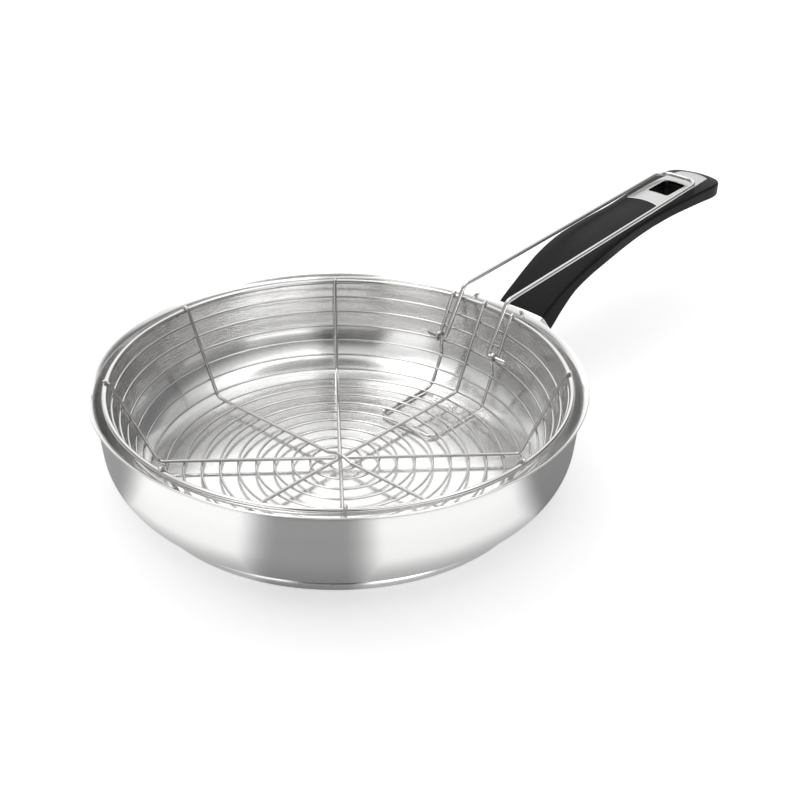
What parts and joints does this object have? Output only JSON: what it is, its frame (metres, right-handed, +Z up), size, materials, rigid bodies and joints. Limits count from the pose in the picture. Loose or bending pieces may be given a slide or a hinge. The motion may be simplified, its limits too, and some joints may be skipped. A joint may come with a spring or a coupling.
{
  "type": "frying pan",
  "caption": "Deep flared frying pan with a bonded base, an arched grip with a slotted inlay plate, and a lift-out spiral wire frying basket with a folding wire handle.",
  "frame": {"origin": "centre of the pan's underside, on the surface that it stands on", "axes": "+X from the pan's centre towards the grip, +Z up, +Y to the left seen from the pan's centre"},
  "size_m": [0.5156, 0.28, 0.0847],
  "materials": {
    "drawn_steel": "satin",
    "spreader": "matte",
    "fitting_steel": "satin",
    "plate_steel": "brushed",
    "insert_brass": "machined",
    "black_plastic": "fine matte texture",
    "bright_wire": "bright"
  },
  "bodies": {
    "pan": {"pan_body": "drawn_steel", "base_core": "spreader", "base_cap": "drawn_steel", "handle_bracket": "fitting_steel", "flame_guard": "fitting_steel", "grip": "black_plastic", "hanger_plate": "plate_steel", "grip_screw": "fitting_steel", "lock_washer": "fitting_steel", "thread_insert": "insert_brass"},
    "basket": {"basket_rim": "bright_wire", "long_rib": "bright_wire", "cross_rib": "bright_wire", "diagonal_rib_1": "bright_wire", "diagonal_rib_2": "bright_wire", "diagonal_rib_3": "bright_wire", "diagonal_rib_4": "bright_wire", "spiral_wire": "bright_wire", "handle_support": "bright_wire"},
    "basket_handle": {"basket_handle": "bright_wire"}
  },
  "joints": [
    {"name": "basket_lift", "type": "slide", "parent": "pan", "child": "basket", "axis": [0, 0, 1], "range_m": [0, 0.12]},
    {"name": "handle_fold", "type": "hinge", "parent": "basket", "child": "basket_handle", "pos_m": [0.1133, 0, 0.03971], "axis": [0, -1, 0], "range_deg": [0, 163]}
  ]
}
